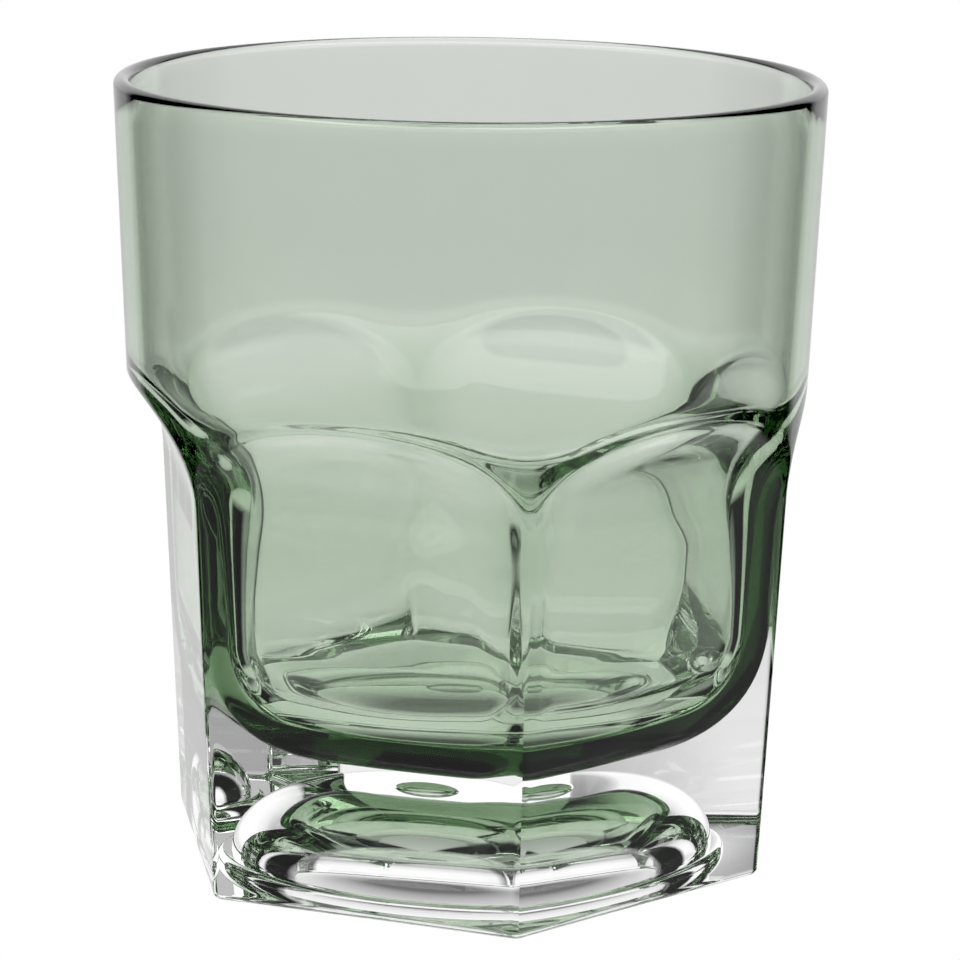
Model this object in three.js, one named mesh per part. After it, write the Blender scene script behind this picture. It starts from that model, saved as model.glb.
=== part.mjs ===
// A drinking tumbler moulded in two shots: a tinted cup bonded into a clear six-sided base.
// Millimetres, +Z up. The origin is the middle of the foot, and a corner of the base points to -Y.

import * as THREE from 'three';

// Whole tumbler
const HEIGHT = 100;
const RIM_RADIUS = 44.6;
const WALL_DRAFT = 0.0385; // radius that the round wall loses outside, per mm below the lip

// Six flat sides of the base, which flare out in a scoop to meet the round wall along six arches
const SIDES = 6;
const FOOT_APOTHEM = 34.75;
const SIDE_LEAN = 0.0445; // apothem that the sides gain, per mm of height
const SIDE_CORNER_RADIUS = 0.8;
const SCOOP_START = 49.7;
const SCOOP_RADIUS = 17.2;
const ARCH_ROUND = 1; // width of the soft edge along the arches

// Foot of the base and the dish under it: a step, a dome and a small bump, one on top of the other
const FOOT_ROUND = 1.2;
const STEP_RADIUS = 28;
const STEP_DEPTH = 1.5;
const DOME_LEDGE = 1; // level ring left between the step and the dome
const DOME_RADIUS = 26;
const DOME_DEPTH = 9.8;
const BUMP_LEDGE = 5; // level ring left between the dome and the bump
const BUMP_RADIUS = 4.3;
const BUMP_DEPTH = 0.9;
const DISH_SQUARENESS = 2; // exponent of the step's and the dome's curve: 2 is an ellipse
const BUMP_SQUARENESS = 2;

// Cavity of the cup, which repeats the six scooped sides with softer corners
const LIP_WIDTH = 2.2;
const CAVITY_DRAFT = 0.0455; // radius that the cavity's round wall loses, per mm below the lip
const SIDE_WALL = 5.5; // both shots together, from side to cavity at the height of SCOOP_START
const CAVITY_LEAN = 0.0445;
const CAVITY_CORNER_RADIUS = 14; // at the arches
const FLOOR_CORNER_RADIUS = 6; // at the floor's rounding
const CAVITY_SCOOP_START = 45.3;
const CAVITY_SCOOP_RADIUS = 21;
const CAVITY_ARCH_ROUND = 4;
const FLOOR_FLAT_RADIUS = 22.4;
const FLOOR_ROUND_HEIGHT = 11;
const FLOOR_SQUARENESS = 2;

// Tinted shot below the arches, and the clear shot that holds it
const TINT_WALL = 3.9;
const TINT_CORNER_RADIUS = 4;
const TINT_FLOOR = 5.7; // thickness of the tinted shot under the cavity
const TINT_FLAT_RADIUS = 8;
const TINT_ROUND_HEIGHT = 19;
const TINT_SQUARENESS = 2.4;
const CLEAR_FLOOR = 3.6; // thickness of the clear shot between the tinted one and the dish
const CLEAR_EDGE = 1; // least width of the clear shot's top edge under the arches
const BOND_GAP = 0.3; // clearance that stands for the bond between the two shots

// Fineness of the surfaces
const STEPS_PER_SIDE = 8;
const SCOOP_STEPS = 8;
const ROUND_STEPS = 6;
const LIP_STEPS = 8;
const WALL_STEPS = 4;
const FOOT_STEPS = 3;
const DISH_STEPS = 5;
const STEEPEST_FLARE = THREE.MathUtils.degToRad(60);
const ROUNDEST_CORNER = 0.99; // largest corner radius of a rounded polygon, as a share of its apothem
const LEAST_RISE = 1; // least height left between a rounding or a flat side and the arch above it
const HALVINGS = 40; // steps of the search for the arch line

const SECTOR = (2 * Math.PI) / SIDES;
const HALF_SECTOR = SECTOR / 2;
const LIP_BASE = HEIGHT - LIP_WIDTH / 2;
const DISH_TOP = STEP_DEPTH + DOME_DEPTH + BUMP_DEPTH;
const CUP_BOTTOM = DISH_TOP + CLEAR_FLOOR;
const CUP_EDGE = CUP_BOTTOM + TINT_ROUND_HEIGHT;
const FLOOR_HEIGHT = CUP_BOTTOM + TINT_FLOOR;
const FLOOR_EDGE = FLOOR_HEIGHT + FLOOR_ROUND_HEIGHT;
const SCOOP_MIDDLE = SCOOP_START + SCOOP_RADIUS / 2;
const LOWEST_ARCH = CUP_EDGE + LEAST_RISE;
const LOWEST_CAVITY_ARCH = FLOOR_EDGE + LEAST_RISE;

const mix = THREE.MathUtils.lerp;

// How far a scoop has flared at height z: a circular arc, then a straight run at its steepest slope
function flare(start, radius, z) {
  const arcEnd = radius * Math.sin(STEEPEST_FLARE);
  const rise = Math.max(z - start, 0);
  const onArc = Math.min(rise, arcEnd);
  const straight = (rise - onArc) * Math.tan(STEEPEST_FLARE);
  return radius - Math.sqrt(radius * radius - onArc * onArc) + straight;
}

// Radius of a polygon with rounded corners, at an azimuth counted from one of its corners
function polygonRadius(azimuth, apothem, cornerRadius) {
  const rounding = Math.min(cornerRadius, ROUNDEST_CORNER * apothem);
  const fromCorner = Math.abs(azimuth - SECTOR * Math.round(azimuth / SECTOR));
  const fromSideMiddle = HALF_SECTOR - fromCorner;
  const flatHalf = (apothem - rounding) * Math.tan(HALF_SECTOR);
  if (apothem * Math.tan(fromSideMiddle) <= flatHalf) return apothem / Math.cos(fromSideMiddle);
  const centre = (apothem - rounding) / Math.cos(HALF_SECTOR);
  const across = centre * Math.sin(fromCorner);
  return centre * Math.cos(fromCorner) + Math.sqrt(rounding * rounding - across * across);
}

// The smaller of two radii, with a soft edge of a given width where they meet
function softMin(a, b, width) {
  const overlap = Math.max(width - Math.abs(a - b), 0) / width;
  return Math.min(a, b) - (overlap * overlap * width) / 4;
}

const wallRadius = (z) => RIM_RADIUS - WALL_DRAFT * (LIP_BASE - z);
const cavityWallRadius = (z) => RIM_RADIUS - LIP_WIDTH - CAVITY_DRAFT * (LIP_BASE - z);
const sideApothem = (z) => FOOT_APOTHEM + SIDE_LEAN * z;

function cavityApothem(z) {
  const straight = sideApothem(SCOOP_START) - SIDE_WALL + CAVITY_LEAN * (z - SCOOP_START);
  return straight + flare(CAVITY_SCOOP_START, CAVITY_SCOOP_RADIUS, z);
}

function sidesRadius(azimuth, z) {
  const apothem = sideApothem(z) + flare(SCOOP_START, SCOOP_RADIUS, z);
  return polygonRadius(azimuth, apothem, SIDE_CORNER_RADIUS);
}

function cavitySidesRadius(azimuth, z) {
  const share = THREE.MathUtils.smoothstep(z, FLOOR_EDGE, SCOOP_MIDDLE);
  const corner = mix(FLOOR_CORNER_RADIUS, CAVITY_CORNER_RADIUS, share);
  return polygonRadius(azimuth, cavityApothem(z), corner);
}

const outerRadius = (azimuth, z) => softMin(sidesRadius(azimuth, z), wallRadius(z), ARCH_ROUND);

function cavityRadius(azimuth, z) {
  return softMin(cavitySidesRadius(azimuth, z), cavityWallRadius(z), CAVITY_ARCH_ROUND);
}

// Surface of the tinted shot inside the base: under the clear shot's edge, and one wall from the cavity
function bondRadius(azimuth, z) {
  const inside = outerRadius(azimuth, z) - CLEAR_EDGE;
  return Math.min(inside, polygonRadius(azimuth, cavityApothem(z) + TINT_WALL, TINT_CORNER_RADIUS));
}

// Height of the arch line, where the flaring sides pass outside the round wall
function archHeight(azimuth, sides, wall, lowest) {
  let low = lowest;
  let high = LIP_BASE;
  for (let halving = 0; halving < HALVINGS; halving += 1) {
    const middle = (low + high) / 2;
    if (sides(azimuth, middle) > wall(middle)) high = middle;
    else low = middle;
  }
  return (low + high) / 2;
}

const arch = (azimuth) => archHeight(azimuth, sidesRadius, wallRadius, LOWEST_ARCH);
const cavityArch = (azimuth) => archHeight(azimuth, cavitySidesRadius, cavityWallRadius, LOWEST_CAVITY_ARCH);

// Azimuths of the columns: evenly over each side, with one more at each end of a corner's rounding
function columnAzimuths() {
  const cornerHalf = Math.atan(
    (SIDE_CORNER_RADIUS * Math.tan(HALF_SECTOR)) / (FOOT_APOTHEM / Math.cos(HALF_SECTOR)),
  );
  const columns = [];
  for (let side = 0; side < SIDES; side += 1) {
    columns.push(side * SECTOR, side * SECTOR + cornerHalf);
    for (let step = 1; step < STEPS_PER_SIDE; step += 1) {
      columns.push(side * SECTOR + (SECTOR * step) / STEPS_PER_SIDE);
    }
    columns.push((side + 1) * SECTOR - cornerHalf);
  }
  return columns;
}

const AZIMUTHS = columnAzimuths();

// One closed ring of points; place gives the radius and height at an azimuth
function ring(place) {
  return AZIMUTHS.map((azimuth) => {
    const [radius, z] = place(azimuth);
    return new THREE.Vector3(radius * Math.sin(azimuth), -radius * Math.cos(azimuth), z);
  });
}

// Rings at equal steps from one end to the other, leaving the first end out
function rings(count, place) {
  return Array.from({ length: count }, (_, i) => ring((azimuth) => place(azimuth, (i + 1) / count)));
}

const even = (t) => t;
const closeAtStart = (t) => t * t;
const closeAtEnd = (t) => 1 - (1 - t) * (1 - t);

// Rings of a wall whose radius follows its height, from one height to another
function wallRings(count, radius, from, to, spacing = even) {
  return rings(count, (azimuth, t) => {
    const z = mix(from(azimuth), to(azimuth), spacing(t));
    return [radius(azimuth, z), z];
  });
}

// Rings from the edge of a round flat floor, over a rounding, to the foot of a wall
function pocketRings(radius, floor, height, flatRadius, squareness) {
  const flat = ring(() => [flatRadius, floor]);
  const curve = rings(ROUND_STEPS, (azimuth, t) => {
    const turn = (t * Math.PI) / 2;
    const out = Math.sin(turn) ** (2 / squareness);
    const up = t < 1 ? 1 - Math.cos(turn) ** (2 / squareness) : 1;
    return [mix(flatRadius, radius(azimuth, floor + height), out), floor + height * up];
  });
  return [flat, ...curve];
}

// Rings of the bonded surface from its bottom up to the arches, moved into the clear shot by gap
function bondRings(gap) {
  const radius = (azimuth, z) => bondRadius(azimuth, z) + gap;
  return [
    ...pocketRings(radius, CUP_BOTTOM - gap, TINT_ROUND_HEIGHT + gap, TINT_FLAT_RADIUS, TINT_SQUARENESS),
    ...wallRings(SCOOP_STEPS, radius, () => CUP_EDGE, (azimuth) => arch(azimuth) - gap),
  ];
}

// Rings of one tier of the dish, from its outer edge up to the level that it leaves inside
function tierRings(count, outer, inner, base, depth, squareness) {
  return Array.from({ length: count }, (_, i) => {
    const turn = (i / DISH_STEPS) * (Math.PI / 2);
    const out = i < DISH_STEPS ? Math.cos(turn) ** (2 / squareness) : 0;
    return ring(() => [mix(inner, outer, out), base + depth * Math.sin(turn) ** (2 / squareness)]);
  });
}

// Two triangles between a pair of points and the pair one ring further on, cut along the shorter diagonal
function quad(points, near, far, ringStep) {
  const nearOn = near + ringStep;
  const farOn = far + ringStep;
  if (points[near].distanceTo(points[farOn]) < points[far].distanceTo(points[nearOn])) {
    return [near, nearOn, farOn, near, farOn, far];
  }
  return [near, nearOn, far, far, nearOn, farOn];
}

// A closed skin over rings that start round one point of the axis and end round another
function skin(allRings, firstZ, lastZ) {
  const count = AZIMUTHS.length;
  const points = [...allRings.flat(), new THREE.Vector3(0, 0, firstZ), new THREE.Vector3(0, 0, lastZ)];
  const first = points.length - 2;
  const last = points.length - 1;
  const triangles = [];
  for (let column = 0; column < count; column += 1) {
    const next = (column + 1) % count;
    triangles.push(first, column, next);
    for (let row = 0; row + 1 < allRings.length; row += 1) {
      triangles.push(...quad(points, row * count + column, row * count + next, count));
    }
    const end = (allRings.length - 1) * count;
    triangles.push(last, end + next, end + column);
  }
  const geometry = new THREE.BufferGeometry().setFromPoints(points);
  geometry.setIndex(triangles);
  geometry.computeVertexNormals();
  return geometry;
}

// Tinted cup: floor, cavity, lip, round wall down to the arches, then the bonded surface
function cupGeometry() {
  const half = LIP_WIDTH / 2;
  const lip = rings(LIP_STEPS, (azimuth, t) => {
    const turn = t * Math.PI;
    return [RIM_RADIUS - half - half * Math.cos(turn), LIP_BASE + half * Math.sin(turn)];
  });
  return skin(
    [
      ...pocketRings(cavityRadius, FLOOR_HEIGHT, FLOOR_ROUND_HEIGHT, FLOOR_FLAT_RADIUS, FLOOR_SQUARENESS),
      ...wallRings(SCOOP_STEPS, cavityRadius, () => FLOOR_EDGE, cavityArch),
      ...wallRings(WALL_STEPS, cavityRadius, cavityArch, () => LIP_BASE, closeAtStart),
      ...lip,
      ...wallRings(WALL_STEPS, outerRadius, () => LIP_BASE, arch, closeAtEnd),
      ...bondRings(0).reverse(),
    ],
    FLOOR_HEIGHT,
    CUP_BOTTOM,
  );
}

// Clear base: pocket for the cup, top edge under the arches, flared sides, foot and dish
function baseGeometry() {
  const top = (azimuth) => arch(azimuth) - BOND_GAP;
  const sideTop = (azimuth) => Math.min(top(azimuth) - LEAST_RISE, SCOOP_START);
  const foot = rings(FOOT_STEPS, (azimuth, t) => {
    const turn = (t * Math.PI) / 2;
    const radius = outerRadius(azimuth, FOOT_ROUND) - FOOT_ROUND * (1 - Math.cos(turn));
    return [radius, FOOT_ROUND * (1 - Math.sin(turn))];
  });
  const stepInner = DOME_RADIUS + DOME_LEDGE;
  const domeInner = BUMP_RADIUS + BUMP_LEDGE;
  const bumpBase = STEP_DEPTH + DOME_DEPTH;
  return skin(
    [
      ...bondRings(BOND_GAP),
      ring((azimuth) => [outerRadius(azimuth, top(azimuth)), top(azimuth)]),
      ...wallRings(SCOOP_STEPS, outerRadius, top, sideTop),
      ...wallRings(1, outerRadius, sideTop, () => FOOT_ROUND),
      ...foot,
      ...tierRings(DISH_STEPS + 1, STEP_RADIUS, stepInner, 0, STEP_DEPTH, DISH_SQUARENESS),
      ...tierRings(DISH_STEPS + 1, DOME_RADIUS, domeInner, STEP_DEPTH, DOME_DEPTH, DISH_SQUARENESS),
      ...tierRings(DISH_STEPS, BUMP_RADIUS, 0, bumpBase, BUMP_DEPTH, BUMP_SQUARENESS),
    ],
    CUP_BOTTOM - BOND_GAP,
    DISH_TOP,
  );
}

function piece(name, geometry, material) {
  const mesh = new THREE.Mesh(geometry, new THREE.MeshStandardMaterial(material));
  mesh.name = name;
  return mesh;
}

const tumbler = new THREE.Group();
tumbler.add(
  piece('tinted_cup', cupGeometry(), {
    color: 0x9fb59c,
    roughness: 0.05,
    metalness: 0,
    transparent: true,
    opacity: 0.45,
  }),
  piece('clear_base', baseGeometry(), {
    color: 0xeef0f2,
    roughness: 0.05,
    metalness: 0,
    transparent: true,
    opacity: 0.3,
  }),
);

export default tumbler;
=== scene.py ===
"""Tumbler of two bonded mouldings: a tinted cup in a clear six-sided base, on a white ground."""

import math

import bpy
import numpy as np
from bpy.props import FloatProperty, FloatVectorProperty, IntProperty, PointerProperty
from mathutils import Matrix, Quaternion, Vector


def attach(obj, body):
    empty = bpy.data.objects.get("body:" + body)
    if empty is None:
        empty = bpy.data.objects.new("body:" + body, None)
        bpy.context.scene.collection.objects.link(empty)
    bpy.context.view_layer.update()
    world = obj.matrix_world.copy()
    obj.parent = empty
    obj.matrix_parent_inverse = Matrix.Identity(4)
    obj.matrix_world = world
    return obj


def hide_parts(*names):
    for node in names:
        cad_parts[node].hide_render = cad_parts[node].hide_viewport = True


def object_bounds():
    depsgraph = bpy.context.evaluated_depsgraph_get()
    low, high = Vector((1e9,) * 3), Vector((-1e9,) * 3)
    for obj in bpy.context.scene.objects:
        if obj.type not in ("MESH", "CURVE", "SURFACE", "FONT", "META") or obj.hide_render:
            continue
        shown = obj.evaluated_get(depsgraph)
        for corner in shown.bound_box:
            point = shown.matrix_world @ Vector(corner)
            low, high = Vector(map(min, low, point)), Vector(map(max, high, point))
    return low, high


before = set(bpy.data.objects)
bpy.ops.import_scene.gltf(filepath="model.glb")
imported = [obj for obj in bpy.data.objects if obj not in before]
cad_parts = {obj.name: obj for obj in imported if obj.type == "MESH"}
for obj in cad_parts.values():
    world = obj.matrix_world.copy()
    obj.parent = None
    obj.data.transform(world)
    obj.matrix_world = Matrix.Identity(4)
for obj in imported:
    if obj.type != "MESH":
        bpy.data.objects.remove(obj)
FRAME_LOW, FRAME_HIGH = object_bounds()

bl_info = {
    "name": "Two-shot tumbler",
    "version": (1, 0, 0),
    "blender": (4, 5, 0),
    "location": "3D View > Sidebar > Tumbler",
    "description": "Builds a tinted cup bonded into a clear six-sided base, with its stage",
    "category": "Object",
}

MM = 0.001

# How a face meets what is beside it: air, the other moulding, or that moulding's top edge at the arches
OPEN, BONDED, SEAM = 0.0, 1.0, 2.0

# Columns of a sector, closer together in a share of it beside each corner
CORNER_SHARE = 0.05
CORNER_COLUMNS = 5
SIDE_COLUMNS = 37

# Rows of each surface, and how strongly they crowd towards the arches
FLOOR_ROWS = 36
CAVITY_ROWS = 50
CAVITY_CROWDING = 1.3
WALL_ROWS = 24
WALL_CROWDING = 2.2
LIP_ROWS = 14
BOND_ROWS = 24
SIDE_ROWS = 70
SIDE_CROWDING = 1.8
FOOT_ROWS = 8
DISH_ROWS = 18

# Limits of the shapes and of the search for the arches
STEEPEST_FLARE = math.radians(60)
ROUNDEST_CORNER = 0.99
HALVINGS = 50
LEAST_RADIUS = 0.01 * MM
WELD_DISTANCE = 0.002 * MM
CREASE_ANGLE = math.radians(24)

# Picture and light paths
SENSOR_WIDTH = 36
BOUNCES = 24
GLOSSY_BOUNCES = 12
CLEAR_CROSSINGS = 64

# Brightness of the surroundings from straight behind the tumbler (0) round to the camera (1)
AROUND = ((0, 1.0), (0.12, 1.0), (0.195, 0.95), (0.235, 0.0), (0.42, 0.0), (0.48, 0.5), (1, 0.35))
# Brightness of the surroundings from straight below (0) to straight above (1)
ABOVE = (
    (0, 0.85), (0.4, 0.92), (0.425, 0.9), (0.444, 0.79), (0.48, 0.78),
    (0.53, 1.1), (0.64, 1.1), (0.72, 0.9), (0.78, 0.5), (1, 0.7),
)
# Where the softboxes round the camera shine, on the same two scales, and how bright they are
SOFTBOX_AROUND = ((0, 0), (0.5, 0), (0.55, 1), (1, 1))
SOFTBOX_ABOVE = ((0, 0), (0.68, 0), (0.69, 1), (0.8, 1), (0.81, 0), (1, 0))
SOFTBOX_LEVEL = 2.2
# Brightness of the white table, from straight below (0) to straight above (1)
TABLE = ((0, 1), (0.22, 1), (0.28, 0), (1, 0))


def length(name, description, millimetres):
    """A size in metres, given in millimetres."""
    return FloatProperty(
        name=name, description=description, default=millimetres * MM, precision=5, unit="LENGTH"
    )


def ratio(name, description, default):
    """A plain number."""
    return FloatProperty(name=name, description=description, default=default, precision=4)


class TumblerOutside(bpy.types.PropertyGroup):
    """Round wall, flat sides and foot."""

    height: length("Height", "From the foot to the top of the lip", (FRAME_HIGH.z - FRAME_LOW.z) / MM)
    rim_radius: length("Rim radius", "Outside of the lip", (FRAME_HIGH.x - FRAME_LOW.x) / 2 / MM)
    wall_draft: ratio("Wall draft", "Radius that the round wall loses per length below the lip", 0.0385)
    sides: IntProperty(name="Sides", description="Flat sides of the base", default=6, min=3)
    foot_apothem: length("Foot apothem", "From the axis to a flat side at the foot", 34.75)
    side_lean: ratio("Side lean", "Apothem that a side gains per length of height", 0.0445)
    side_corner: length("Side corner", "Radius of the corners between the sides", 0.8)
    scoop_start: length("Scoop start", "Height at which a side begins to flare", 49.7)
    scoop_radius: length("Scoop radius", "Radius of the flare", 17.2)
    arch_round: length("Arch rounding", "Width of the soft edge along the arches", 1)
    foot_round: length("Foot rounding", "Radius of the edge round the foot", 1.2)


class TumblerUnderside(bpy.types.PropertyGroup):
    """Dish under the foot: a step, a dome and a small bump, one on top of the other."""

    step_radius: length("Step radius", "Radius of the dish at the foot", 28)
    step_depth: length("Step depth", "Height of the step", 1.5)
    dome_ledge: length("Dome ledge", "Level ring between the step and the dome", 1)
    dome_radius: length("Dome radius", "Radius of the dome over the step", 26)
    dome_depth: length("Dome depth", "Height of the dome", 9.8)
    bump_ledge: length("Bump ledge", "Level ring between the dome and the bump", 5)
    bump_radius: length("Bump radius", "Radius of the small bump on the dome", 4.3)
    bump_depth: length("Bump depth", "Height of the small bump", 0.9)
    dish_square: ratio("Dish squareness", "Exponent of the step's and the dome's curve: 2 is an ellipse", 2)
    bump_square: ratio("Bump squareness", "Exponent of the bump's curve: 2 is an ellipse", 2)


class TumblerInside(bpy.types.PropertyGroup):
    """Cavity of the cup and the bond with the base."""

    lip_width: length("Lip width", "Thickness of the wall at the lip", 2.2)
    cavity_draft: ratio("Cavity draft", "Radius that the cavity loses per length below the lip", 0.0455)
    side_wall: length("Side wall", "Both mouldings together at the start of the scoop", 5.5)
    cavity_lean: ratio("Cavity lean", "Apothem that the cavity gains per length of height", 0.0445)
    cavity_corner: length("Cavity corner", "Radius of the cavity's corners at the arches", 14)
    floor_corner: length("Floor corner", "Radius of the cavity's corners at the floor", 6)
    cavity_scoop_start: length("Cavity scoop start", "Height at which the cavity begins to flare", 45.3)
    cavity_scoop_radius: length("Cavity scoop radius", "Radius of the cavity's flare", 21)
    cavity_arch_round: length("Cavity arch rounding", "Width of the soft edge inside the arches", 4)
    floor_flat: length("Floor flat", "Radius of the flat disc at the cavity's floor", 22.4)
    floor_depth: length("Floor depth", "Height of the rounding over the cavity's floor", 11)
    floor_square: ratio("Floor squareness", "Exponent of the floor's rounding: 2 is an ellipse", 2)
    tint_wall: length("Tint wall", "Thickness of the tinted moulding below the arches", 3.9)
    tint_corner: length("Tint corner", "Radius of the tinted moulding's corners below the arches", 4)
    tint_floor: length("Tint floor", "Thickness of the tinted moulding under the cavity", 5.7)
    tint_flat: length("Tint flat", "Radius of the flat disc at the tinted moulding's bottom", 8)
    tint_depth: length("Tint depth", "Height of the rounding over that disc", 19)
    tint_square: ratio("Tint squareness", "Exponent of that rounding: 2 is an ellipse", 2.4)
    clear_floor: length("Clear floor", "Thickness of the clear moulding over the dish", 3.6)
    clear_edge: length("Clear edge", "Least width of the clear moulding's top edge", 1)
    bond_gap: length("Bond gap", "Clearance between the bonded faces", 0.02)


class TumblerLook(bpy.types.PropertyGroup):
    """Finish of the two mouldings."""

    tint: FloatVectorProperty(
        name="Tint", description="Colour that the tinted moulding lets through", subtype="COLOR",
        size=3, min=0, max=1, default=(0.355, 0.54, 0.31),
    )
    absorption: ratio("Absorption", "Absorption of the tinted moulding per metre", 130)
    clear: FloatVectorProperty(
        name="Clear", description="Colour of the clear moulding", subtype="COLOR",
        size=3, min=0, max=1, default=(1.0, 1.0, 1.0),
    )
    index: ratio("Index", "Refractive index of the clear moulding", 1.49)
    bond_index: ratio("Bond index", "Refractive index of the tinted moulding over the clear one's", 1.035)


class TumblerStage(bpy.types.PropertyGroup):
    """Camera and surroundings."""

    turn: FloatProperty(
        name="Turn", description="Azimuth of the camera", subtype="ANGLE", default=math.radians(-10.05)
    )
    distance: length("Distance", "From the axis to the camera, level", 481.39)
    eye_height: length("Eye height", "Height of the camera over the foot", 158.56)
    pitch: FloatProperty(
        name="Pitch", description="How far the camera looks down", subtype="ANGLE",
        default=math.radians(12.918),
    )
    yaw: FloatProperty(
        name="Yaw", description="How far the camera looks to the right of the axis", subtype="ANGLE",
        default=math.radians(0.2106),
    )
    roll: FloatProperty(
        name="Roll", description="Turn of the picture", subtype="ANGLE", default=math.radians(0.7559)
    )
    lens: ratio("Lens", "Focal length in millimetres on a 36 mm sensor", 144.603)
    floor_size: length("Floor size", "From the axis to an edge of the floor", 1500)
    floor_drop: length("Floor drop", "Clearance between the foot and the floor", 0.1)
    # Painted shadow on the floor under the dish: its darkest grey, and the radius within which that grey
    # holds
    dish_shade: ratio("Dish shade", "Brightness of the floor under the middle of the dish", 0.15)
    shade_radius: length("Shade radius", "How far the full shade under the dish reaches", 11)


def polygon_radius(azimuth, apothem, corner, sides):
    """Radius of a polygon with rounded corners, at azimuths counted from a corner."""
    sector = 2 * math.pi / sides
    half = sector / 2
    corner = np.minimum(corner, ROUNDEST_CORNER * apothem)
    from_corner = np.abs(azimuth - sector * np.round(azimuth / sector))
    from_middle = half - from_corner
    centre = (apothem - corner) / math.cos(half)
    across = centre * np.sin(from_corner)
    rounded = centre * np.cos(from_corner) + np.sqrt(np.maximum(corner**2 - across**2, 0))
    on_side = apothem * np.tan(from_middle) <= (apothem - corner) * math.tan(half)
    return np.where(on_side, apothem / np.cos(from_middle), rounded)


def soft_min(a, b, width):
    """The smaller of two radii, with a soft edge of a given width where they meet."""
    overlap = np.maximum(width - np.abs(a - b), 0) / width
    return np.minimum(a, b) - overlap**2 * width / 4


def flare(start, radius, z):
    """How far a scoop has flared at a height: an arc, then a straight run at its steepest slope."""
    rise = np.maximum(z - start, 0)
    on_arc = np.minimum(rise, radius * math.sin(STEEPEST_FLARE))
    return radius - np.sqrt(radius**2 - on_arc**2) + (rise - on_arc) * math.tan(STEEPEST_FLARE)


class Form:
    """Radii of the tumbler's surfaces at an azimuth and a height."""

    def __init__(self, scene):
        self.out = scene.tumbler_outside
        self.under = scene.tumbler_underside
        self.inside = scene.tumbler_inside
        self.lip_base = self.out.height - self.inside.lip_width / 2
        self.dish_top = self.under.step_depth + self.under.dome_depth + self.under.bump_depth
        self.cup_bottom = self.dish_top + self.inside.clear_floor
        self.cup_edge = self.cup_bottom + self.inside.tint_depth
        self.floor_height = self.cup_bottom + self.inside.tint_floor
        self.floor_edge = self.floor_height + self.inside.floor_depth
        self.arch_top = self.out.scoop_start + self.out.scoop_radius / 2

    def wall(self, z):
        return self.out.rim_radius - self.out.wall_draft * (self.lip_base - z)

    def cavity_wall(self, z):
        lip = self.out.rim_radius - self.inside.lip_width
        return lip - self.inside.cavity_draft * (self.lip_base - z)

    def side_apothem(self, z):
        return self.out.foot_apothem + self.out.side_lean * z

    def side_radius(self, azimuth, z):
        apothem = self.side_apothem(z) + flare(self.out.scoop_start, self.out.scoop_radius, z)
        return polygon_radius(azimuth, apothem, self.out.side_corner, self.out.sides)

    def cavity_apothem(self, z):
        start = self.out.scoop_start
        apothem = self.side_apothem(start) - self.inside.side_wall + self.inside.cavity_lean * (z - start)
        return apothem + flare(self.inside.cavity_scoop_start, self.inside.cavity_scoop_radius, z)

    def cavity_side_radius(self, azimuth, z):
        share = np.clip((z - self.floor_edge) / (self.arch_top - self.floor_edge), 0, 1)
        share = share**2 * (3 - 2 * share)
        corner = self.inside.floor_corner * (1 - share) + self.inside.cavity_corner * share
        return polygon_radius(azimuth, self.cavity_apothem(z), corner, self.out.sides)

    def outer(self, azimuth, z):
        return soft_min(self.side_radius(azimuth, z), self.wall(z), self.out.arch_round)

    def cavity(self, azimuth, z):
        sides = self.cavity_side_radius(azimuth, z)
        return soft_min(sides, self.cavity_wall(z), self.inside.cavity_arch_round)

    def bond(self, azimuth, z):
        edge = self.outer(azimuth, z) - self.inside.clear_edge
        apothem = self.cavity_apothem(z) + self.inside.tint_wall
        return np.minimum(edge, polygon_radius(azimuth, apothem, self.inside.tint_corner, self.out.sides))

    def arch_height(self, azimuth, sides, wall, lowest):
        """Height at which flaring sides pass outside a round wall."""
        low = np.full_like(azimuth, lowest)
        high = np.full_like(azimuth, self.lip_base)
        for _ in range(HALVINGS):
            middle = (low + high) / 2
            past = sides(azimuth, middle) > wall(middle)
            high = np.where(past, middle, high)
            low = np.where(past, low, middle)
        return (low + high) / 2

    def arch(self, azimuth):
        return self.arch_height(azimuth, self.side_radius, self.wall, self.cup_edge)

    def cavity_arch(self, azimuth):
        return self.arch_height(azimuth, self.cavity_side_radius, self.cavity_wall, self.floor_edge)


def steps(count, power=1.0):
    """Shares from just over 0 to 1; a power over 1 crowds them at the start."""
    return (np.arange(1, count + 1) / count) ** power


def steps_to_end(count, power):
    """Shares from just over 0 to 1; a power over 1 crowds them at the end."""
    return 1 - (1 - steps(count)) ** power


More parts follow.
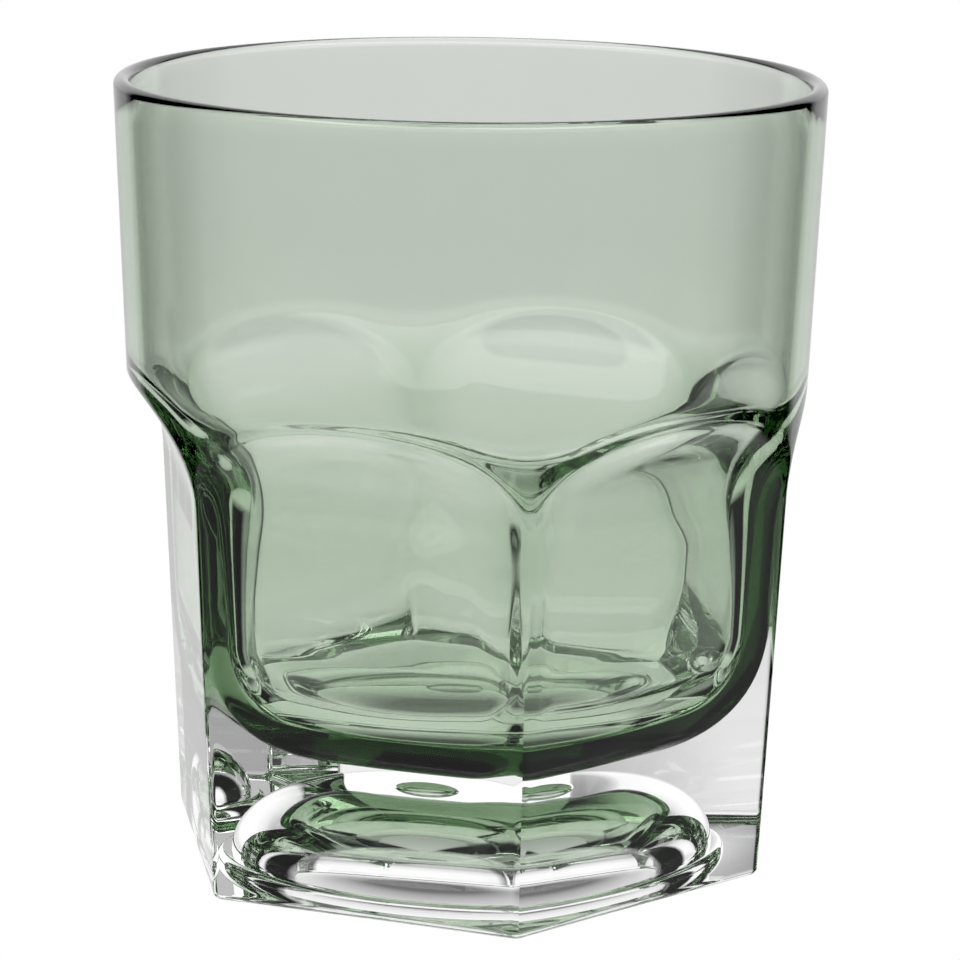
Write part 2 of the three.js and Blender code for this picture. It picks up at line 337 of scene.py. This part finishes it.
class Rows:
    """Rings of one sector's points, and how the band of faces after each ring meets what is beside it.

    A ring holds a radius and a height for each azimuth.
    """

    def __init__(self, azimuth):
        self.azimuth = azimuth
        self.rings = []
        self.joins = []

    def add(self, radius, z, join=OPEN):
        whole = np.ones_like(self.azimuth)
        self.rings.append((radius * whole, z * whole))
        self.joins.append(join)

    def wall(self, radius, start, end, shares, join=OPEN):
        """Rings of a wall whose radius follows its height."""
        for share in shares:
            z = start + (end - start) * share
            self.add(radius(self.azimuth, z), z, join)

    def bowl(self, radius, bottom, depth, flat, square, count, join=OPEN, up=True):
        """Rings from the edge of a flat disc, over a rounding, to the foot of a wall."""
        edge = radius(self.azimuth, bottom + depth)
        turns = np.append(0, steps(count)) * math.pi / 2
        for turn in turns if up else turns[::-1]:
            share = math.sin(turn) ** (2 / square)
            rise = 1 - math.cos(turn) ** (2 / square)
            self.add(flat + (edge - flat) * share, bottom + depth * rise, join)

    def mesh(self, name, first_z, last_z):
        """One sector's skin, from a point of the axis to another, with each face's join."""
        count = len(self.azimuth)
        points = [
            np.stack([r * np.sin(self.azimuth), -r * np.cos(self.azimuth), z], axis=1)
            for r, z in self.rings
        ]
        verts = np.concatenate([*points, [[0, 0, first_z], [0, 0, last_z]]])
        first, last = len(verts) - 2, len(verts) - 1
        faces = []
        joins = []
        for column in range(count - 1):
            faces.append((first, column, column + 1))
            joins.append(self.joins[0])
            end = (len(self.rings) - 1) * count + column
            faces.append((last, end + 1, end))
            joins.append(self.joins[-1])
        for row in range(len(self.rings) - 1):
            for near in range(row * count, row * count + count - 1):
                faces.append((near, near + count, near + count + 1, near + 1))
                joins.append(self.joins[row])
        mesh = bpy.data.meshes.new(name)
        mesh.from_pydata(verts.tolist(), [], faces)
        attribute = mesh.attributes.new("join", "FLOAT", "FACE")
        attribute.data.foreach_set("value", np.array(joins, np.float32))
        return mesh


def sector_azimuths(sides):
    """Azimuths of one sector's columns, from a corner to the next and closer near the corners."""
    sector = 2 * math.pi / sides
    near_corner = np.linspace(0, CORNER_SHARE, CORNER_COLUMNS, endpoint=False)
    across = np.linspace(CORNER_SHARE, 1 - CORNER_SHARE, SIDE_COLUMNS)
    return sector * np.concatenate([near_corner, across, 1 - near_corner[::-1]])


def sector_tree():
    """Geometry nodes that repeat one sector round the axis, weld it and give it a material."""
    tree = bpy.data.node_groups.new("sector_round_axis", "GeometryNodeTree")
    tree.interface.new_socket("Sector", in_out="INPUT", socket_type="NodeSocketGeometry")
    tree.interface.new_socket("Sides", in_out="INPUT", socket_type="NodeSocketInt")
    tree.interface.new_socket("Weld", in_out="INPUT", socket_type="NodeSocketFloat")
    tree.interface.new_socket("Material", in_out="INPUT", socket_type="NodeSocketMaterial")
    tree.interface.new_socket("Body", in_out="OUTPUT", socket_type="NodeSocketGeometry")
    nodes, link = tree.nodes, tree.links.new
    given = nodes.new("NodeGroupInput")
    points = nodes.new("GeometryNodePoints")
    index = nodes.new("GeometryNodeInputIndex")
    share = nodes.new("ShaderNodeMath")
    share.operation = "DIVIDE"
    turn = nodes.new("ShaderNodeMath")
    turn.operation = "MULTIPLY"
    turn.inputs[1].default_value = 2 * math.pi
    euler = nodes.new("ShaderNodeCombineXYZ")
    copies = nodes.new("GeometryNodeInstanceOnPoints")
    realize = nodes.new("GeometryNodeRealizeInstances")
    weld = nodes.new("GeometryNodeMergeByDistance")
    paint = nodes.new("GeometryNodeSetMaterial")
    result = nodes.new("NodeGroupOutput")
    link(given.outputs["Sides"], points.inputs["Count"])
    link(index.outputs["Index"], share.inputs[0])
    link(given.outputs["Sides"], share.inputs[1])
    link(share.outputs["Value"], turn.inputs[0])
    link(turn.outputs["Value"], euler.inputs["Z"])
    link(points.outputs["Points"], copies.inputs["Points"])
    link(given.outputs["Sector"], copies.inputs["Instance"])
    link(euler.outputs["Vector"], copies.inputs["Rotation"])
    link(copies.outputs["Instances"], realize.inputs["Geometry"])
    link(realize.outputs["Geometry"], weld.inputs["Geometry"])
    link(given.outputs["Weld"], weld.inputs["Distance"])
    link(weld.outputs["Geometry"], paint.inputs["Geometry"])
    link(given.outputs["Material"], paint.inputs["Material"])
    link(paint.outputs["Geometry"], result.inputs["Body"])
    return tree


def whole_body(name, sector_mesh, sides, material):
    """An object whose mesh is the sector repeated round the axis, with its creases marked sharp."""
    body = bpy.data.objects.new(name, sector_mesh)
    bpy.context.scene.collection.objects.link(body)
    modifier = body.modifiers.new("sectors", "NODES")
    tree = sector_tree()
    modifier.node_group = tree
    values = {"Sides": sides, "Weld": WELD_DISTANCE, "Material": material}
    for socket in tree.interface.items_tree:
        if socket.name in values:
            modifier[socket.identifier] = values[socket.name]
    evaluated = body.evaluated_get(bpy.context.evaluated_depsgraph_get())
    mesh = bpy.data.meshes.new_from_object(evaluated)
    body.modifiers.clear()
    body.data = mesh
    mesh.name = name
    mesh.set_sharp_from_angle(angle=CREASE_ANGLE)
    return body


class Signal:
    """A node socket that adds maths nodes when it is used in an expression."""

    def __init__(self, tree, socket):
        self.tree = tree
        self.socket = socket

    def node(self, kind, settings=None, **sockets):
        """A node of any type: its settings come first, then its sockets, by name or as i and a number."""
        made = self.tree.nodes.new(kind)
        for key, value in (settings or {}).items():
            if key == "stops":
                fill_ramp(made.color_ramp, value)
            else:
                setattr(made, key, value)
        for key, value in sockets.items():
            numbered = key[0] == "i" and key[1:].isdigit()
            place = made.inputs[int(key[1:]) if numbered else key.replace("_", " ")]
            if isinstance(value, Signal):
                self.tree.links.new(value.socket, place)
            else:
                place.default_value = value
        return made

    def signal(self, kind, settings=None, output=0, **sockets):
        """The output of a new node, as a signal."""
        return Signal(self.tree, self.node(kind, settings, **sockets).outputs[output])

    def maths(self, operation, a, b=0.0):
        return self.signal("ShaderNodeMath", {"operation": operation}, i0=a, i1=b)

    def __add__(self, other):
        return self.maths("ADD", self, other)

    def __sub__(self, other):
        return self.maths("SUBTRACT", self, other)

    def __mul__(self, other):
        return self.maths("MULTIPLY", self, other)

    def __truediv__(self, other):
        return self.maths("DIVIDE", self, other)

    def __radd__(self, other):
        return self.maths("ADD", other, self)

    def __rsub__(self, other):
        return self.maths("SUBTRACT", other, self)

    def __rmul__(self, other):
        return self.maths("MULTIPLY", other, self)

    def __rtruediv__(self, other):
        return self.maths("DIVIDE", other, self)


def fill_ramp(ramp, stops):
    """Sets a colour ramp to grey stops, each a position and a brightness."""
    while len(ramp.elements) > 1:
        ramp.elements.remove(ramp.elements[-1])
    for number, (position, grey) in enumerate(stops):
        element = ramp.elements[0] if number == 0 else ramp.elements.new(position)
        element.position = position
        element.color = (grey, grey, grey, 1)


def empty_nodes(owner):
    """A signal with no socket yet, in the emptied node tree of a material or a world."""
    owner.use_nodes = True
    owner.node_tree.nodes.clear()
    return Signal(owner.node_tree, None)


def acrylic(name, colour, index, bond_index=1.0, tint=None, density=0.0):
    """See-through acrylic: it bends light at its open faces, and little or not at all where it is bonded."""
    material = bpy.data.materials.new(name)
    start = empty_nodes(material)
    join = start.signal("ShaderNodeAttribute", {"attribute_name": "join"}, output="Fac")
    open_face = start.signal("ShaderNodeBsdfGlass", Color=(*colour, 1), Roughness=0.0, IOR=index)
    bonded_face = start.signal("ShaderNodeBsdfTransparent", Color=(1, 1, 1, 1))
    if bond_index != 1:
        seam = start.maths("GREATER_THAN", join, (BONDED + SEAM) / 2)
        bend = start.signal("ShaderNodeBsdfGlass", Color=(1, 1, 1, 1), Roughness=0.0, IOR=bond_index)
        bonded_face = start.signal("ShaderNodeMixShader", i0=seam, i1=bend, i2=bonded_face)
    bonded = start.maths("MINIMUM", join, BONDED)
    surface = start.signal("ShaderNodeMixShader", i0=bonded, i1=open_face, i2=bonded_face)
    output = start.node("ShaderNodeOutputMaterial", Surface=surface)
    if tint:
        volume = start.signal("ShaderNodeVolumeAbsorption", Color=(*tint, 1), Density=density)
        start.tree.links.new(volume.socket, output.inputs["Volume"])
    return material


def white_floor(shade_radius, dish_radius, shade):
    """Floor that is white to the camera, with a painted shadow under the dish where the acrylic shows it: an
    emitted grey, darker towards the axis.
    """
    material = bpy.data.materials.new("white_floor")
    start = empty_nodes(material)
    place = start.signal("ShaderNodeTexCoord", output="Object")
    from_axis = start.signal("ShaderNodeVectorMath", {"operation": "LENGTH"}, output="Value", i0=place)
    under_dish = start.maths("LESS_THAN", from_axis, dish_radius)
    # Painted shadow: an emitted grey, at the dish shade out to the shade radius and rising to white at the
    # dish's edge, stands in for the tumbler's shadow on the floor
    brightness = start.signal(
        "ShaderNodeMapRange", Value=from_axis, From_Min=shade_radius, From_Max=dish_radius, To_Min=shade
    )
    shaded = start.signal("ShaderNodeEmission", Color=brightness, Strength=1.0)
    open_floor = start.signal("ShaderNodeBsdfTransparent", Color=(1, 1, 1, 1))
    through_acrylic = start.signal("ShaderNodeMixShader", i0=under_dish, i1=open_floor, i2=shaded)
    white = start.signal("ShaderNodeEmission", Color=(1, 1, 1, 1), Strength=1.0)
    camera_ray = start.signal("ShaderNodeLightPath", output="Is Camera Ray")
    surface = start.signal("ShaderNodeMixShader", i0=camera_ray, i1=through_acrylic, i2=white)
    start.node("ShaderNodeOutputMaterial", Surface=surface)
    return material


class TUMBLER_OT_tinted_cup(bpy.types.Operator):
    """Builds the tinted cup: floor, cavity, lip, round wall and the faces bonded to the base"""

    bl_idname = "tumbler.tinted_cup"
    bl_label = "Tinted cup"

    def execute(self, context):
        form = Form(context.scene)
        look = context.scene.tumbler_look
        inside = form.inside
        azimuth = sector_azimuths(form.out.sides)
        arch, cavity_arch = form.arch(azimuth), form.cavity_arch(azimuth)
        rows = Rows(azimuth)
        rows.bowl(
            form.cavity, form.floor_height, inside.floor_depth, inside.floor_flat, inside.floor_square,
            FLOOR_ROWS,
        )
        rows.wall(form.cavity, form.floor_edge, cavity_arch, steps_to_end(CAVITY_ROWS, CAVITY_CROWDING))
        rows.wall(form.cavity, cavity_arch, form.lip_base, steps(WALL_ROWS, WALL_CROWDING))
        half = inside.lip_width / 2
        for turn in steps(LIP_ROWS) * math.pi:
            radius = form.out.rim_radius - half - half * math.cos(turn)
            rows.add(radius, form.lip_base + half * math.sin(turn))
        rows.wall(form.outer, form.lip_base, arch, steps_to_end(WALL_ROWS, WALL_CROWDING)[:-1])
        rows.add(form.outer(azimuth, arch), arch, SEAM)
        rows.wall(form.bond, arch, form.cup_edge, [0, *steps(BOND_ROWS)[:-1]], BONDED)
        rows.bowl(
            form.bond, form.cup_bottom, inside.tint_depth, inside.tint_flat, inside.tint_square,
            BOND_ROWS, BONDED, up=False,
        )
        mesh = rows.mesh("tinted_cup", form.floor_height, form.cup_bottom)
        index = look.index * look.bond_index
        material = acrylic("tinted_acrylic", (1, 1, 1), index, look.bond_index, look.tint, look.absorption)
        cup = whole_body("cup_of_tinted_acrylic", mesh, form.out.sides, material)
        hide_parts("tinted_cup")
        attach(cup, "root")
        return {"FINISHED"}


class TUMBLER_OT_clear_base(bpy.types.Operator):
    """Builds the clear base: pocket for the cup, flared sides, foot and the dish underneath"""

    bl_idname = "tumbler.clear_base"
    bl_label = "Clear base"

    def execute(self, context):
        form = Form(context.scene)
        look = context.scene.tumbler_look
        out, inside, under = form.out, form.inside, form.under
        gap = inside.bond_gap
        azimuth = sector_azimuths(out.sides)
        arch = form.arch(azimuth) - gap

        def pocket(at, z):
            return form.bond(at, z) + gap

        rows = Rows(azimuth)
        rows.bowl(
            pocket, form.cup_bottom - gap, inside.tint_depth + gap, inside.tint_flat, inside.tint_square,
            BOND_ROWS, BONDED,
        )
        rows.wall(pocket, form.cup_edge, arch, steps(BOND_ROWS), BONDED)
        rows.add(form.outer(azimuth, arch), arch)
        rows.wall(form.outer, arch, out.foot_round, steps(SIDE_ROWS, SIDE_CROWDING))
        for turn in steps(FOOT_ROWS) * math.pi / 2:
            radius = form.outer(azimuth, out.foot_round) - out.foot_round * (1 - math.cos(turn))
            rows.add(radius, out.foot_round * (1 - math.sin(turn)))
        for radius, z in self.dish(under):
            rows.add(radius, z)
        mesh = rows.mesh("clear_base", form.cup_bottom - gap, form.dish_top)
        material = acrylic("clear_acrylic", look.clear, look.index)
        base = whole_body("base_of_clear_acrylic", mesh, out.sides, material)
        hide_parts("clear_base")
        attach(base, "root")
        return {"FINISHED"}

    def dish(self, under):
        """Radii and heights of the dish from its edge to the bump, tier by tier."""
        tiers = (
            (under.step_radius, under.dome_radius + under.dome_ledge, under.step_depth, under.dish_square),
            (under.dome_radius, under.bump_radius + under.bump_ledge, under.dome_depth, under.dish_square),
            (under.bump_radius, 0.0, under.bump_depth, under.bump_square),
        )
        base = 0.0
        for outer, inner, depth, square in tiers:
            for turn in np.linspace(0, math.pi / 2, DISH_ROWS):
                radius = inner + (outer - inner) * math.cos(turn) ** (2 / square)
                if radius > LEAST_RADIUS:
                    yield radius, base + depth * math.sin(turn) ** (2 / square)
            base += depth


class TUMBLER_OT_stage(bpy.types.Operator):
    """Sets up the camera, the surroundings and the floor"""

    bl_idname = "tumbler.stage"
    bl_label = "Stage"

    def execute(self, context):
        scene = context.scene
        stage = scene.tumbler_stage
        self.camera(scene, stage)
        self.surroundings(scene, stage)
        self.floor(scene, stage)
        scene.view_settings.view_transform = "Standard"
        scene.cycles.max_bounces = BOUNCES
        scene.cycles.transmission_bounces = BOUNCES
        scene.cycles.transparent_max_bounces = CLEAR_CROSSINGS
        scene.cycles.glossy_bounces = GLOSSY_BOUNCES
        return {"FINISHED"}

    def camera(self, scene, stage):
        data = bpy.data.cameras.new("camera")
        data.lens = stage.lens
        data.sensor_width = SENSOR_WIDTH
        camera = bpy.data.objects.new("camera", data)
        scene.collection.objects.link(camera)
        level = math.cos(stage.pitch)
        forward = Vector((math.sin(stage.yaw) * level, math.cos(stage.yaw) * level, -math.sin(stage.pitch)))
        aim = forward.to_track_quat("-Z", "Y") @ Quaternion((0, 0, 1), stage.roll)
        turned = Matrix.Rotation(stage.turn, 4, "Z")
        place = Matrix.Translation((0, -stage.distance, stage.eye_height))
        camera.matrix_world = turned @ place @ aim.to_matrix().to_4x4()
        scene.camera = camera

    def floor(self, scene, stage):
        size, z = stage.floor_size, -stage.floor_drop
        mesh = bpy.data.meshes.new("floor")
        corners = [(-size, -size, z), (size, -size, z), (size, size, z), (-size, size, z)]
        mesh.from_pydata(corners, [], [(0, 1, 2, 3)])
        dish = scene.tumbler_underside.step_radius
        mesh.materials.append(white_floor(stage.shade_radius, dish, stage.dish_shade))
        floor = bpy.data.objects.new("floor", mesh)
        scene.collection.objects.link(floor)

    def surroundings(self, scene, stage):
        world = bpy.data.worlds.new("white_studio")
        start = empty_nodes(world)
        seen = start.signal("ShaderNodeTexCoord", output="Generated")
        turned = start.signal(
            "ShaderNodeVectorRotate", {"rotation_type": "Z_AXIS"}, Vector=seen, Angle=-stage.turn
        )
        split = start.node("ShaderNodeSeparateXYZ", Vector=turned)
        x, y, z = (Signal(start.tree, output) for output in split.outputs)
        from_back = x.maths("ARCTAN2", x.maths("ABSOLUTE", x), y) / math.pi
        upward = z.maths("ARCSINE", z) / math.pi + 0.5
        level = start.signal("ShaderNodeValToRGB", {"stops": AROUND}, Fac=from_back)
        level = level * start.signal("ShaderNodeValToRGB", {"stops": ABOVE}, Fac=upward)
        table = start.signal("ShaderNodeValToRGB", {"stops": TABLE}, Fac=upward)
        level = level.maths("MAXIMUM", level, table)
        softbox = start.signal("ShaderNodeValToRGB", {"stops": SOFTBOX_AROUND}, Fac=from_back)
        softbox = softbox * start.signal("ShaderNodeValToRGB", {"stops": SOFTBOX_ABOVE}, Fac=upward)
        level = level.maths("MAXIMUM", level, softbox * SOFTBOX_LEVEL)
        camera_ray = start.signal("ShaderNodeLightPath", output="Is Camera Ray")
        strength = level * (1 - camera_ray) + camera_ray
        light = start.signal("ShaderNodeBackground", Color=(1, 1, 1, 1), Strength=strength)
        start.node("ShaderNodeOutputWorld", Surface=light)
        scene.world = world


class TUMBLER_PT_panel(bpy.types.Panel):
    """Lists the tumbler's pieces and sizes"""

    bl_idname = "TUMBLER_PT_panel"
    bl_label = "Tumbler"
    bl_space_type = "VIEW_3D"
    bl_region_type = "UI"
    bl_category = "Tumbler"

    def draw(self, context):
        for operator in OPERATORS:
            self.layout.operator(operator.bl_idname)
        for name, group in GROUPS.items():
            box = self.layout.box()
            for key in group.__annotations__:
                box.prop(getattr(context.scene, name), key)


GROUPS = {
    "tumbler_outside": TumblerOutside,
    "tumbler_underside": TumblerUnderside,
    "tumbler_inside": TumblerInside,
    "tumbler_look": TumblerLook,
    "tumbler_stage": TumblerStage,
}
OPERATORS = (TUMBLER_OT_tinted_cup, TUMBLER_OT_clear_base, TUMBLER_OT_stage)


def register():
    for group in (*GROUPS.values(), *OPERATORS, TUMBLER_PT_panel):
        bpy.utils.register_class(group)
    for name, group in GROUPS.items():
        setattr(bpy.types.Scene, name, PointerProperty(type=group))


def unregister():
    for name in GROUPS:
        delattr(bpy.types.Scene, name)
    for group in (TUMBLER_PT_panel, *OPERATORS, *GROUPS.values()):
        bpy.utils.unregister_class(group)


def main():
    register()
    bpy.ops.tumbler.tinted_cup()
    bpy.ops.tumbler.clear_base()
    bpy.ops.tumbler.stage()


if __name__ == "__main__":
    main()
